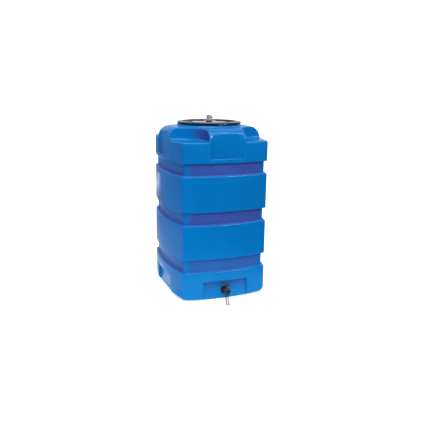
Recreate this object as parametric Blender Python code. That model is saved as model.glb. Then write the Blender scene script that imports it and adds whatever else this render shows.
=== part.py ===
"""Upright livestock water tank: moulded body, screw-down lid ring, vent and outlet valve.

Metres, +Z up. The tank stands on z = 0, the outlet faces -Y, and every round
fitting is turned about its own axis. The last step slides the whole assembly
along Y, so that its footprint is centred on the origin.
"""
import math

import bmesh
import bpy
from mathutils import Matrix, Vector

for leftover in list(bpy.data.objects):
    bpy.data.objects.remove(leftover, do_unlink=True)

# ---------------------------------------------------------------- dimensions
CORNER_X = 0.3038        # half-width at the vertical corners
CORNER_Y = 0.3416        # half-depth at the vertical corners
BULGE_FRONT = 0.0407     # how far the front and back walls bow outward
BULGE_SIDE = 0.0462      # how far the side walls bow outward
WALL = 0.005             # moulded wall thickness
SIDE_STEPS = 8           # straight facets along each bowed wall

GROOVE_DEPTH = 0.013
GROOVE_LEDGE = 0.013     # height of the rounded ledge under each groove
GROOVE_LIP = 0.005       # height of the lip over each groove
GROOVES = ((0.1956, 0.3019), (0.5277, 0.6316), (0.8612, 0.9607))
BASE_FILLET = ((0.0, 0.046), (0.004, 0.027), (0.015, 0.011), (0.032, 0.0025), (0.050, 0.0))

SHOULDER_Z = 1.096       # where the shoulder starts to round over
SHOULDER_R = 0.085
SHOULDER_STEPS = 5
TOP_Z = SHOULDER_Z + SHOULDER_R
LEDGE_Z = 1.098          # flat corner ledges on the top belt
PIER_HALF = 0.129        # half-width of the block left on each wall between the corner ledges
CORNER_CUT_R = 0.190

PANEL_HALF = 0.111       # shallow flat panel in each upper wall
PANEL_BOTTOM = 0.985
PANEL_INSET = 0.031      # below the crown of the bowed wall
POCKET_HALF = 0.161      # flat pocket in each wall of the base
POCKET_BOTTOM = -0.010   # the pockets run out through the rounded base
POCKET_TOP = 0.134
POCKET_INSET = 0.0323
CUT_OVERRUN = 0.100

NECK_R = 0.2085
NECK_BORE = 0.190
NECK_TOP = 1.2001
GAP = 0.0003             # clearance between touching pieces

FRONT_Y = -(CORNER_Y + BULGE_FRONT)
OUTLET_Z = 0.068
OUTLET_Y = FRONT_Y + POCKET_INSET   # outer face of the pocket that carries the outlet
OUTLET_HOLE_R = 0.0134

LID_SEGMENTS = 48
FITTING_SEGMENTS = 24
SMALL_SEGMENTS = 16


# ----------------------------------------------------------------- materials
def material(name, rgb, roughness, metallic=0.0):
    """A plain Principled BSDF finish."""
    made = bpy.data.materials.get(name)
    if made is None:
        made = bpy.data.materials.new(name)
        made.use_nodes = True
        shader = made.node_tree.nodes["Principled BSDF"]
        shader.inputs["Base Color"].default_value = (*rgb, 1.0)
        shader.inputs["Roughness"].default_value = roughness
        shader.inputs["Metallic"].default_value = metallic
    return made


def blue_polyethylene():
    return material("tank_blue", (0.006, 0.155, 0.470), 0.32)


def black_polypropylene():
    return material("fitting_black", (0.018, 0.018, 0.020), 0.38)


def grey_vent_plastic():
    return material("vent_grey", (0.230, 0.230, 0.250), 0.45)


def rubber():
    return material("seal_rubber", (0.030, 0.030, 0.030), 0.75)


def brass():
    return material("ball_brass", (0.640, 0.450, 0.180), 0.25, 1.0)


def seat_plastic():
    return material("seat_white", (0.780, 0.780, 0.760), 0.40)


def chain_steel():
    return material("chain_steel", (0.480, 0.480, 0.490), 0.28, 1.0)


# ------------------------------------------------------------------- helpers
def add_object(name, mesh_source, finish=None):
    """Turn a bmesh into a named object with outward normals."""
    bmesh.ops.recalc_face_normals(mesh_source, faces=mesh_source.faces)
    data = bpy.data.meshes.new(name)
    mesh_source.to_mesh(data)
    mesh_source.free()
    made = bpy.data.objects.new(name, data)
    bpy.context.collection.objects.link(made)
    if finish is not None:
        data.materials.append(finish)
    return made


def turned_bmesh(profile, segments, axis="Z", origin=(0.0, 0.0, 0.0), ripple=None):
    """Turn a closed (radius, height) outline about an axis; radius 0 makes a pole.

    The height runs along +Z, along -Y (outward from the front wall) or along +X.
    ripple is an optional set of outline indices whose radius drops on every other
    pair of segments, which makes finger grips.
    """
    build = bmesh.new()
    centre = Vector(origin)
    rings = []
    for index, (radius, height) in enumerate(profile):
        if radius == 0.0:
            rings.append([build.verts.new(centre + along(axis, 0.0, 0.0, height))])
            continue
        ring = []
        for step in range(segments):
            angle = 2.0 * math.pi * step / segments
            reach = radius
            if ripple and index in ripple and step % 4 >= 2:
                reach = radius * 0.93
            point = along(axis, reach * math.cos(angle), reach * math.sin(angle), height)
            ring.append(build.verts.new(centre + point))
        rings.append(ring)
    count = len(rings)
    for index in range(count):
        bridge(build, rings[index], rings[(index + 1) % count])
    return build


def along(axis, across, up, height):
    """A point given in the cross-section of an axis, as a world offset."""
    if axis == "Z":
        return Vector((across, up, height))
    if axis == "Y":
        return Vector((across, -height, up))
    return Vector((height, across, up))


def bridge(build, first, second):
    """Skin the band between two rings; a ring of one vertex is a pole."""
    if len(first) == 1 and len(second) == 1:
        return
    size = max(len(first), len(second))
    for step in range(size):
        after = (step + 1) % size
        corners = []
        for ring, order in ((first, (step, after)), (second, (after, step))):
            if len(ring) == 1:
                corners.append(ring[0])
            else:
                corners.extend(ring[i] for i in order)
        build.faces.new(corners)


def turned(name, profile, finish, segments=FITTING_SEGMENTS, axis="Z", origin=(0.0, 0.0, 0.0),
           ripple=None):
    """A turned, named sub-part."""
    return add_object(name, turned_bmesh(profile, segments, axis, origin, ripple), finish)


def outlet_turned(name, profile, finish, segments=FITTING_SEGMENTS, ripple=None):
    """A piece turned about the outlet axis; heights run outward from the pocket face."""
    return turned(name, profile, finish, segments, "Y", (0.0, OUTLET_Y, OUTLET_Z), ripple)


def torus(name, centre, axis, ring_radius, wire_radius, finish, segments=SMALL_SEGMENTS, sides=8):
    """A round ring of round wire about an axis."""
    profile = []
    for side in range(sides):
        angle = 2.0 * math.pi * side / sides
        profile.append((ring_radius + wire_radius * math.cos(angle), wire_radius * math.sin(angle)))
    return turned(name, profile, finish, segments, axis, centre)


def prism(points, low, high):
    """An upright prism over a plan outline."""
    build = bmesh.new()
    lower = [build.verts.new((x, y, low)) for x, y in points]
    upper = [build.verts.new((x, y, high)) for x, y in points]
    bridge(build, lower, upper)
    build.faces.new(lower)
    build.faces.new(upper)
    return add_object("cutter", build)


def block(low, high):
    """An upright box between two corners."""
    plan = ((low[0], low[1]), (high[0], low[1]), (high[0], high[1]), (low[0], high[1]))
    return prism(plan, low[2], high[2])


def boolean(target, operation, tool):
    """Apply one exact Boolean and remove its tool."""
    tool.hide_render = True
    tool.display_type = "WIRE"
    step = target.modifiers.new("boolean", "BOOLEAN")
    step.operation = operation
    step.object = tool
    step.solver = "EXACT"
    bpy.context.view_layer.objects.active = target
    bpy.ops.object.modifier_apply(modifier=step.name)
    bpy.data.objects.remove(tool, do_unlink=True)


# ----------------------------------------------------------------- tank body
def plan_outline(inset):
    """Plan of the tank at one level: four bowed walls, pulled in by inset."""
    half_x = CORNER_X - inset
    half_y = CORNER_Y - inset
    corners = ((-half_x, -half_y), (half_x, -half_y), (half_x, half_y), (-half_x, half_y))
    bulges = (BULGE_FRONT, BULGE_SIDE, BULGE_FRONT, BULGE_SIDE)
    points = []
    for wall in range(4):
        start = Vector(corners[wall])
        end = Vector(corners[(wall + 1) % 4])
        run = end - start
        outward = Vector((run.y, -run.x)).normalized()
        for step in range(SIDE_STEPS):
            place = step / SIDE_STEPS
            bow = bulges[wall] * (1.0 - (2.0 * place - 1.0) ** 2)
            points.append(start + run * place + outward * bow)
    return points


def tank_levels(shrink):
    """(height, inset) of every level, for the outer skin or one shrunk inward."""
    levels = [(z + shrink, inset + shrink) for z, inset in BASE_FILLET]
    for low, high in GROOVES:
        levels.append((low - shrink * 0.6, shrink))
        if shrink == 0.0:
            levels.append((low + GROOVE_LEDGE * 0.6, GROOVE_DEPTH * 0.25))
        levels.append((low + GROOVE_LEDGE - shrink * 0.6, GROOVE_DEPTH + shrink))
        levels.append((high - GROOVE_LIP + shrink * 0.6, GROOVE_DEPTH + shrink))
        levels.append((high + shrink * 0.6, shrink))
    round_r = SHOULDER_R - shrink
    for step in range(SHOULDER_STEPS + 1):
        angle = 0.5 * math.pi * step / SHOULDER_STEPS
        inset = SHOULDER_R - round_r * math.cos(angle)
        levels.append((SHOULDER_Z + round_r * math.sin(angle), inset))
    return levels


def tank_shell(name, shrink):
    """Closed solid between the floor and the flat top, for one skin of the tank."""
    build = bmesh.new()
    rings = []
    for height, inset in tank_levels(shrink):
        rings.append([build.verts.new((p.x, p.y, height)) for p in plan_outline(inset)])
    for lower, upper in zip(rings, rings[1:]):
        bridge(build, lower, upper)
    build.faces.new(rings[0])
    build.faces.new(rings[-1])
    return add_object(name, build)


def corner_cutter(sign_x, sign_y, shrink):
    """Clears one corner above the ledge: two straight sides and a hollow round between."""
    near = PIER_HALF - shrink
    centre = PIER_HALF + CORNER_CUT_R
    radius = CORNER_CUT_R + shrink
    far = CORNER_Y + CUT_OVERRUN
    plan = [(near, far)]
    for step in range(7):
        angle = 0.5 * math.pi * step / 6
        plan.append((centre - radius * math.cos(angle), centre - radius * math.sin(angle)))
    plan.append((far, near))
    plan.append((far, far))
    placed = [(sign_x * x, sign_y * y) for x, y in plan]
    return prism(placed, LEDGE_Z - shrink, TOP_Z + CUT_OVERRUN)


def wall_cutters(half, low, high, inset, shrink):
    """One flat-bottomed recess in the middle of each of the four walls."""
    reach_x = CORNER_X + BULGE_SIDE
    reach_y = CORNER_Y + BULGE_FRONT
    wide = half + shrink
    bottom = low - shrink
    top = high + shrink
    made = []
    for side in (-1, 1):
        inner = side * (reach_y - inset - shrink)
        outer = side * (reach_y + CUT_OVERRUN)
        made.append(block((-wide, min(inner, outer), bottom), (wide, max(inner, outer), top)))
        inner = side * (reach_x - inset - shrink)
        outer = side * (reach_x + CUT_OVERRUN)
        made.append(block((min(inner, outer), -wide, bottom), (max(inner, outer), wide, top)))
    return made


def tank_skin(name, shrink):
    """One skin with its corner ledges, upper panels and base pockets cut."""
    skin = tank_shell(name, shrink)
    for sign_x in (-1, 1):
        for sign_y in (-1, 1):
            boolean(skin, "DIFFERENCE", corner_cutter(sign_x, sign_y, shrink))
    for cutter in wall_cutters(PANEL_HALF, PANEL_BOTTOM, TOP_Z + CUT_OVERRUN, PANEL_INSET, shrink):
        boolean(skin, "DIFFERENCE", cutter)
    for cutter in wall_cutters(POCKET_HALF, POCKET_BOTTOM, POCKET_TOP, POCKET_INSET, shrink):
        boolean(skin, "DIFFERENCE", cutter)
    return skin


def make_tank():
    """Hollow body with its neck and the hole for the outlet."""
    body = tank_skin("tank_body", 0.0)
    body.data.materials.append(blue_polyethylene())
    neck = turned("cutter", ((0.0, TOP_Z - 0.010), (NECK_R, TOP_Z - 0.010), (NECK_R, NECK_TOP),
                             (0.0, NECK_TOP)), None, LID_SEGMENTS)
    boolean(body, "UNION", neck)
    boolean(body, "DIFFERENCE", tank_skin("cutter", WALL))
    mouth = turned("cutter", ((0.0, TOP_Z - 0.040), (NECK_BORE, TOP_Z - 0.040),
                              (NECK_BORE, NECK_TOP + 0.010), (0.0, NECK_TOP + 0.010)),
                   None, LID_SEGMENTS)
    boolean(body, "DIFFERENCE", mouth)
    hole = outlet_turned("cutter", ((0.0, -0.030), (OUTLET_HOLE_R, -0.030),
                                    (OUTLET_HOLE_R, 0.020), (0.0, 0.020)), None)
    boolean(body, "DIFFERENCE", hole)
    return body


# ----------------------------------------------------------------------- lid
GASKET_H = 0.003
LID_EDGE_LOW = NECK_TOP + GASKET_H + 2.0 * GAP
LID_EDGE_TOP = LID_EDGE_LOW + 0.005
RING_SEAT = LID_EDGE_TOP + GAP
CROWN_TOP = 1.2105       # raised middle of the dished lid
CROWN_R = 0.119
LID_T = 0.004
TROUGH_TOP = 1.1950
STEM_HOLE_R = 0.0115


def make_lid_gasket():
    low = NECK_TOP + GAP
    profile = ((0.1915, low), (0.2075, low), (0.2075, low + GASKET_H), (0.1915, low + GASKET_H))
    return turned("lid_gasket", profile, rubber(), LID_SEGMENTS)


def make_lid_disc():
    """Dished disc: flat rim, trough and a raised middle with the vent hole."""
    profile = (
        (STEM_HOLE_R, CROWN_TOP - LID_T), (CROWN_R - 0.006, CROWN_TOP - LID_T),
        (CROWN_R, TROUGH_TOP - LID_T), (0.1800, TROUGH_TOP - LID_T),
        (0.1880, LID_EDGE_LOW), (0.2075, LID_EDGE_LOW), (0.2075, LID_EDGE_TOP),
        (0.1860, LID_EDGE_TOP), (0.1780, TROUGH_TOP), (CROWN_R + 0.006, TROUGH_TOP),
        (CROWN_R, CROWN_TOP), (STEM_HOLE_R, CROWN_TOP),
    )
    return turned("lid_disc", profile, black_polypropylene(), LID_SEGMENTS)


def make_lid_ring():
    """Ring nut: tapered skirt outside the neck and a clamping flange that rises inward."""
    profile = (
        (0.2115, 1.1920), (0.2235, 1.1920), (0.2280, 1.2070), (0.2290, 1.2088),
        (0.2286, 1.2102), (0.2268, 1.2109), (0.1965, 1.2150), (0.1932, 1.2148),
        (0.1915, 1.2135), (0.1915, RING_SEAT), (0.2115, RING_SEAT),
    )
    return turned("lid_ring", profile, black_polypropylene(), LID_SEGMENTS)


# ---------------------------------------------------------------------- vent
NUT_LOW = CROWN_TOP + GAP
NUT_TOP = NUT_LOW + 0.0058
CAP_LOW = NUT_TOP + GAP
CAP_TOP = 1.2549
VENT_CAP_R = 0.018
VENT_STEM_R = 0.0112
VENT_STEM_TOP = 1.2380


def make_vent_stem():
    """Threaded stem with a flange under the lid."""
    seat = CROWN_TOP - LID_T - GAP - 0.0025 - GAP
    profile = (
        (0.0080, seat - 0.0035), (0.0200, seat - 0.0035), (0.0200, seat),
        (VENT_STEM_R, seat), (VENT_STEM_R, VENT_STEM_TOP), (0.0080, VENT_STEM_TOP),
    )
    return turned("vent_stem", profile, black_polypropylene())


def make_vent_seal():
    low = CROWN_TOP - LID_T - GAP - 0.0025
    profile = ((0.0116, low), (0.0190, low), (0.0190, low + 0.0025), (0.0116, low + 0.0025))
    return turned("vent_seal", profile, rubber())


def make_vent_nut():
    """Round nut with finger grips that clamps the stem to the lid."""
    profile = (
        (0.0116, NUT_LOW), (0.0225, NUT_LOW), (0.0235, NUT_LOW + 0.002),
        (0.0235, NUT_TOP - 0.002), (0.0215, NUT_TOP), (0.0116, NUT_TOP),
    )
    return turned("vent_nut", profile, black_polypropylene(), FITTING_SEGMENTS, ripple={2, 3})


def make_vent_screen():
    low = VENT_STEM_TOP + GAP
    profile = ((0.0, low), (0.0105, low), (0.0105, low + 0.0008), (0.0, low + 0.0008))
    return turned("vent_screen", profile, chain_steel(), SMALL_SEGMENTS)


def make_vent_cap():
    """Push-on hood with air slots round its lower edge and a hole for its screw."""
    profile = (
        (0.0140, CAP_LOW), (0.0205, CAP_LOW), (0.0205, CAP_LOW + 0.003),
        (VENT_CAP_R, CAP_LOW + 0.006), (VENT_CAP_R, CAP_TOP - 0.003), (0.0155, CAP_TOP),
        (0.0, CAP_TOP), (0.0, CAP_TOP - 0.003), (0.0140, CAP_TOP - 0.003),
    )
    hood = turned("vent_cap", profile, grey_vent_plastic())
    for step in range(3):
        slot = block((-0.0025, -0.030, CAP_LOW - 0.002), (0.0025, 0.030, CAP_LOW + 0.004))
        slot.rotation_euler.z = math.pi * (step / 3.0 + 1.0 / 6.0)
        bpy.context.view_layer.update()
        boolean(hood, "DIFFERENCE", slot)
    hole = turned("cutter", ((0.0, 0.010), (0.0030, 0.010), (0.0030, 0.030), (0.0, 0.030)),
                  None, SMALL_SEGMENTS, "X", (0.0, 0.0, THUMB_Z))
    boolean(hood, "DIFFERENCE", hole)
    return hood


THUMB_Z = 1.2380


def make_thumb_screw():
    """Screw through the side of the vent cap."""
    profile = (
        (0.0, 0.0125), (0.0026, 0.0125), (0.0026, VENT_CAP_R + GAP), (0.0050, VENT_CAP_R + GAP),
        (0.0055, 0.0200), (0.0055, 0.0265), (0.0040, 0.0280), (0.0, 0.0280),
    )
    return turned("vent_thumb_screw", profile, black_polypropylene(), 12, "X", (0.0, 0.0, THUMB_Z))


# -------------------------------------------------------------------- outlet
# Heights along the outlet axis, outward from the pocket face.
GASKET_IN = (-WALL - GAP - 0.0027, -WALL - GAP)
TAIL_FLANGE = (-WALL - 0.0036 - 0.0045, -WALL - 0.0036)
GASKET_OUT = (GAP, 0.0023)
NUT_SPAN = (0.0026, 0.0126)
VALVE_BACK = NUT_SPAN[1] + GAP
TAIL_END = 0.0190
SEAT_T = 0.0025
SEAT_IN = TAIL_END + GAP
BALL_R = 0.0110
BALL_C = SEAT_IN + SEAT_T + 0.0084
SEAT_OUT = BALL_C + 0.0084
NIPPLE_BACK = SEAT_OUT + SEAT_T + GAP
VALVE_FRONT = NIPPLE_BACK + 0.0052
NIPPLE_FLANGE = (VALVE_FRONT + GAP, VALVE_FRONT + 0.0033)
CAP_BACK = NIPPLE_FLANGE[1] + GAP
NIPPLE_END = 0.0588
CAP_WALL = (NIPPLE_END + 0.0027, NIPPLE_END + 0.0057)
TAIL_R = 0.0130
BORE_R = 0.0080
CAVITY_R = 0.0133
VALVE_R = 0.0190
BOSS_TOP = 0.0330
HANDLE_LOW = BOSS_TOP + GAP


def make_outlet_tail():
    """Threaded tail with its flange inside the tank."""
    profile = (
        (BORE_R, -0.0240), (TAIL_R, -0.0240), (TAIL_R, TAIL_FLANGE[0]),
        (0.0230, TAIL_FLANGE[0]), (0.0230, TAIL_FLANGE[1]), (TAIL_R, TAIL_FLANGE[1]),
        (TAIL_R, TAIL_END), (BORE_R, TAIL_END),
    )
    return outlet_turned("outlet_tail", profile, black_polypropylene())


def make_gaskets():
    """Rubber washers on both faces of the tank wall."""
    for name, (low, high) in (("inner_gasket", GASKET_IN), ("outer_gasket", GASKET_OUT)):
        profile = ((0.0136, low), (0.0225, low), (0.0225, high), (0.0136, high))
        outlet_turned(name, profile, rubber())


def make_outlet_nut():
    """Large round nut that clamps the tail to the wall."""
    low, high = NUT_SPAN
    profile = (
        (0.0134, low), (0.0305, low), (0.0315, low + 0.0015), (0.0300, high - 0.0015),
        (0.0270, high), (0.0134, high),
    )
    return outlet_turned("outlet_nut", profile, black_polypropylene(), 32, {2, 3})


def make_valve_body():
    """Barrel with a through bore and a boss on top for the stem."""
    profile = (
        (CAVITY_R, VALVE_BACK), (0.0175, VALVE_BACK), (0.0175, 0.0205), (VALVE_R, 0.0220),
        (VALVE_R, VALVE_FRONT - 0.0015), (0.0175, VALVE_FRONT), (CAVITY_R, VALVE_FRONT),
    )
    body = outlet_turned("valve_body", profile, black_polypropylene())
    centre = (0.0, OUTLET_Y - BALL_C, OUTLET_Z)
    boss = turned("cutter", ((0.0, 0.0150), (0.0082, 0.0150), (0.0082, BOSS_TOP), (0.0, BOSS_TOP)),
                  None, SMALL_SEGMENTS, "Z", centre)
    boolean(body, "UNION", boss)
    bore = turned("cutter", ((0.0, 0.0080), (0.0043, 0.0080), (0.0043, BOSS_TOP - 0.0030),
                             (0.0062, BOSS_TOP - 0.0030), (0.0062, 0.0400), (0.0, 0.0400)),
                  None, SMALL_SEGMENTS, "Z", centre)
    boolean(body, "DIFFERENCE", bore)
    return body


def make_seats():
    """Two rings that the ball turns between."""
    for name, low in (("seat_inner", SEAT_IN), ("seat_outer", SEAT_OUT)):
        profile = ((0.0075, low), (0.0129, low), (0.0129, low + SEAT_T), (0.0075, low + SEAT_T))
        outlet_turned(name, profile, seat_plastic(), SMALL_SEGMENTS)


def make_ball():
    """Ball with its bore across the outlet and a slot for the stem."""
    profile = []
    for step in range(9):
        angle = math.pi * (step / 8.0 - 0.5)
        radius = BALL_R * math.cos(angle) if 0 < step < 8 else 0.0
        profile.append((radius, BALL_R * math.sin(angle)))
    centre = (0.0, OUTLET_Y - BALL_C, OUTLET_Z)
    ball = turned("ball", profile, brass(), 20, "Z", centre)
    bore = turned("cutter", ((0.0, -0.020), (0.0065, -0.020), (0.0065, 0.020), (0.0, 0.020)),
                  None, SMALL_SEGMENTS, "X", centre)
    boolean(ball, "DIFFERENCE", bore)
    low = (-0.020, centre[1] - 0.0018, centre[2] + 0.0082)
    high = (0.020, centre[1] + 0.0018, centre[2] + 0.0200)
    boolean(ball, "DIFFERENCE", block(low, high))
    return ball


def make_valve_stem():
    """Stem with a flat tang in the ball and a hole for the handle screw."""
    centre = (0.0, OUTLET_Y - BALL_C, OUTLET_Z)
    top = HANDLE_LOW + 0.0042
    profile = ((0.0, 0.0085), (0.0040, 0.0085), (0.0040, top), (0.0018, top),
               (0.0018, top - 0.0065), (0.0, top - 0.0065))
    stem = turned("valve_stem", profile, brass(), SMALL_SEGMENTS, "Z", centre)
    for side in (-1, 1):
        near = centre[1] + side * 0.0015
        far = centre[1] + side * 0.0200
        tool = block((-0.020, min(near, far), centre[2]), (0.020, max(near, far), centre[2] + 0.0115))
        boolean(stem, "DIFFERENCE", tool)
    return stem


def make_stem_seal():
    centre = (0.0, OUTLET_Y - BALL_C, OUTLET_Z + BOSS_TOP - 0.0018)
    return torus("stem_seal", centre, "Z", 0.0052, 0.0008, rubber(), SMALL_SEGMENTS, 6)


def make_valve_handle():
    """Two-winged handle on the stem, square to the outlet when the valve is shut."""
    centre_y = OUTLET_Y - BALL_C
    build = bmesh.new()
    half = ((-0.0250, 0.0040), (-0.0180, 0.0055), (-0.0090, 0.0062), (-0.0060, 0.0088),
            (0.0060, 0.0088), (0.0090, 0.0062), (0.0180, 0.0055), (0.0250, 0.0040))
    plan = [(x, centre_y - y) for x, y in half] + [(x, centre_y + y) for x, y in reversed(half)]
    low = OUTLET_Z + HANDLE_LOW
    high = low + 0.0067
    lower = [build.verts.new((x, y, low)) for x, y in plan]
    upper = [build.verts.new((x, y, high)) for x, y in plan]
    bridge(build, lower, upper)
    build.faces.new(lower)
    build.faces.new(upper)
    handle = add_object("valve_handle", build, black_polypropylene())
    bevel_edges(handle, 0.0012, high)
    step = HANDLE_LOW + 0.0045
    hole = turned("cutter", ((0.0, 0.0200), (0.0043, 0.0200), (0.0043, step), (0.0021, step),
                             (0.0021, 0.0500), (0.0, 0.0500)),
                  None, SMALL_SEGMENTS, "Z", (0.0, centre_y, OUTLET_Z))
    boolean(handle, "DIFFERENCE", hole)
    return handle


def bevel_edges(target, width, level):
    """Round the edges that lie in one level plane."""
    build = bmesh.new()
    build.from_mesh(target.data)
    edges = [e for e in build.edges if all(abs(v.co.z - level) < 1e-6 for v in e.verts)]
    bmesh.ops.bevel(build, geom=edges, offset=width, segments=1, affect="EDGES")
    build.to_mesh(target.data)
    build.free()


def make_handle_screw():
    centre = (0.0, OUTLET_Y - BALL_C, OUTLET_Z)
    top = HANDLE_LOW + 0.0067
    profile = ((0.0, top - 0.0085), (0.0015, top - 0.0085), (0.0015, top + 0.0003),
               (0.0036, top + 0.0003), (0.0032, top + 0.0020), (0.0, top + 0.0024))
    return turned("handle_screw", profile, chain_steel(), 12, "Z", centre)


def make_outlet_nipple():
    """Hose thread screwed into the front of the valve."""
    profile = (
        (0.0075, NIPPLE_BACK), (TAIL_R, NIPPLE_BACK), (TAIL_R, VALVE_FRONT + GAP),
        (0.0165, VALVE_FRONT + GAP), (0.0165, NIPPLE_FLANGE[1]), (0.0120, NIPPLE_FLANGE[1]),
        (0.0120, NIPPLE_END), (0.0075, NIPPLE_END),
    )
    return outlet_turned("outlet_nipple", profile, black_polypropylene())


def make_dust_cap():
    """Gripped cap over the outlet thread, with a hole for the swivel."""
    low, high = CAP_WALL
    profile = (
        (0.0125, CAP_BACK), (0.0205, CAP_BACK), (0.0215, CAP_BACK + 0.0015),
        (0.0215, high - 0.0020), (0.0195, high), (0.0023, high), (0.0023, low), (0.0125, low),
    )
    return outlet_turned("dust_cap", profile, black_polypropylene(), FITTING_SEGMENTS, {2, 3})


def make_cap_seal():
    low = NIPPLE_END + GAP
    high = CAP_WALL[0] - GAP
    profile = ((0.0076, low), (0.0121, low), (0.0121, high), (0.0076, high))
    return outlet_turned("cap_seal", profile, rubber(), SMALL_SEGMENTS)


def make_swivel_eye():
    """Rivet through the middle of the cap that carries the chain's eye."""
    low, high = CAP_WALL
    profile = ((0.0, low - GAP - 0.0022), (0.0040, low - GAP - 0.0022), (0.0040, low - GAP),
               (0.0019, low - GAP), (0.0019, high + GAP), (0.0034, high + GAP),
               (0.0034, high + 0.0022), (0.0, high + 0.0022))
    eye = outlet_turned("swivel_eye", profile, chain_steel(), 12)
    middle = (0.0, OUTLET_Y - high - 0.0048, OUTLET_Z)
    loop = turned("cutter", ((0.0017, -0.0009), (0.0036, -0.0009), (0.0036, 0.0009),
                             (0.0017, 0.0009)), None, 12, "X", middle)
    boolean(eye, "UNION", loop)
    return eye


# --------------------------------------------------------------------- chain
CHAIN_RING_AT = 0.0165
CHAIN_WIRE = 0.0008
CHAIN_RING_R = 0.0186


def make_chain_ring():
    """Wire ring round the back of the valve body."""
    centre = (0.0, OUTLET_Y - CHAIN_RING_AT, OUTLET_Z)
    return torus("chain_ring", centre, "Y", CHAIN_RING_R, CHAIN_WIRE, chain_steel(),
                 FITTING_SEGMENTS, 6)


CHAIN_ROUTE = (
    (0.000, -0.0165, 0.0468), (0.000, -0.0205, 0.0418), (-0.001, -0.0260, 0.0382),
    (-0.001, -0.0318, 0.0368), (-0.001, -0.0352, 0.0330), (-0.001, -0.0360, 0.0220),
    (-0.002, -0.0368, 0.0100), (-0.003, -0.0410, 0.0032), (-0.007, -0.0520, 0.0021),
    (-0.015, -0.0720, 0.0021), (-0.024, -0.0980, 0.0021), (-0.030, -0.1230, 0.0021),
    (-0.027, -0.1385, 0.0021), (-0.018, -0.1400, 0.0021), (-0.012, -0.1290, 0.0021),
    (-0.012, -0.1120, 0.0021), (-0.008, -0.0930, 0.0021), (-0.003, -0.0800, 0.0024),
    (-0.001, -0.0730, 0.0065), (0.000, -0.0700, 0.0180), (0.000, -0.0693, 0.0360),
    (0.000, -0.0693, 0.0612),
)
CHAIN_PITCH = 0.0060
BEAD_R = 0.0018
LINK_R = 0.0008


def smooth_route(points, per_span):
    """Catmull-Rom samples through the route's points."""
    samples = []
    last = len(points) - 1
    for index in range(last):
        before = points[max(index - 1, 0)]
        start = points[index]
        end = points[index + 1]
        after = points[min(index + 2, last)]
        for step in range(per_span):
            t = step / per_span
            samples.append(0.5 * (2.0 * start + (end - before) * t
                                  + (2.0 * before - 5.0 * start + 4.0 * end - after) * t * t
                                  + (3.0 * start - before - 3.0 * end + after) * t ** 3))
    samples.append(points[-1])
    return samples


def resample(points, spacing):
    """Points an even distance apart along a polyline, ends included."""
    lengths = [0.0]
    for first, second in zip(points, points[1:]):
        lengths.append(lengths[-1] + (second - first).length)
    count = max(2, round(lengths[-1] / spacing))
    evenly = []
    span = 0
    for step in range(count + 1):
        target = lengths[-1] * step / count
        while span < len(lengths) - 2 and lengths[span + 1] < target:
            span += 1
        part = (target - lengths[span]) / max(lengths[span + 1] - lengths[span], 1e-9)
        evenly.append(points[span].lerp(points[span + 1], min(part, 1.0)))
    return evenly


def make_retaining_chain():
    """Ball chain from the ring on the valve to the eye on the cap, as one solid."""
    route = [Vector((x, OUTLET_Y + y, z)) for x, y, z in CHAIN_ROUTE]
    centres = resample(smooth_route(route, 8), CHAIN_PITCH / 2.0)
    build = bmesh.new()
    rings = [[build.verts.new(centres[0])]]
    side = Vector((1.0, 0.0, 0.0))
    sides = 6
    for index in range(1, len(centres) - 1):
        ahead = (centres[index + 1] - centres[index - 1]).normalized()
        side = (side - ahead * side.dot(ahead)).normalized()
        other = ahead.cross(side)
        radius = BEAD_R if index % 2 else LINK_R
        ring = []
        for step in range(sides):
            angle = 2.0 * math.pi * step / sides
            offset = side * math.cos(angle) + other * math.sin(angle)
            ring.append(build.verts.new(centres[index] + offset * radius))
        rings.append(ring)
    rings.append([build.verts.new(centres[-1])])
    for first, second in zip(rings, rings[1:]):
        bridge(build, first, second)
    return add_object("retaining_chain", build, chain_steel())


# ------------------------------------------------------------------ assembly
def hang_on_joint(name, origin, members):
    """Parent pieces to an empty that stands on their joint axis."""
    pivot = bpy.data.objects.new(name, None)
    pivot.location = origin
    bpy.context.collection.objects.link(pivot)
    bpy.context.view_layer.update()
    for member in members:
        member.parent = pivot
        member.matrix_parent_inverse = Matrix.Translation(-Vector(origin))
    return pivot


def centre_footprint():
    """Slide the assembly along Y so that its footprint is centred on the origin."""
    bpy.context.view_layer.update()
    reach = []
    for item in bpy.data.objects:
        if item.type == "MESH":
            reach.extend((item.matrix_world @ v.co).y for v in item.data.vertices)
    middle = 0.5 * (min(reach) + max(reach))
    for item in bpy.data.objects:
        if item.parent is None:
            item.location.y -= middle
    bpy.context.view_layer.update()
    return middle


def make_outlet():
    """Everything on the outlet axis, with its joint empties."""
    make_outlet_tail()
    make_gaskets()
    make_outlet_nut()
    make_valve_body()
    make_seats()
    make_stem_seal()
    make_outlet_nipple()
    core = [make_ball(), make_valve_stem(), make_valve_handle(), make_handle_screw()]
    hang_on_joint("valve_axis", (0.0, OUTLET_Y - BALL_C, OUTLET_Z), core)
    cap = [make_dust_cap(), make_cap_seal()]
    hang_on_joint("cap_axis", (0.0, OUTLET_Y - CAP_BACK, OUTLET_Z), cap)
    make_swivel_eye()
    make_chain_ring()
    make_retaining_chain()


def make_lid():
    """Lid, ring nut and vent, with their joint empties."""
    make_lid_gasket()
    make_lid_disc()
    hang_on_joint("ring_axis", (0.0, 0.0, RING_SEAT), [make_lid_ring()])
    make_vent_stem()
    make_vent_seal()
    make_vent_nut()
    make_vent_screen()
    hang_on_joint("vent_cap_axis", (0.0, 0.0, CAP_LOW), [make_vent_cap(), make_thumb_screw()])


make_tank()
make_lid()
make_outlet()
print("assembly slid along Y by", round(-centre_footprint(), 5))
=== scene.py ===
"""Looks of the livestock water tank: moulded blue body, black lid and outlet, studio."""

import math

import bmesh
import bpy
import numpy as np
from mathutils import Matrix, Vector


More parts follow.
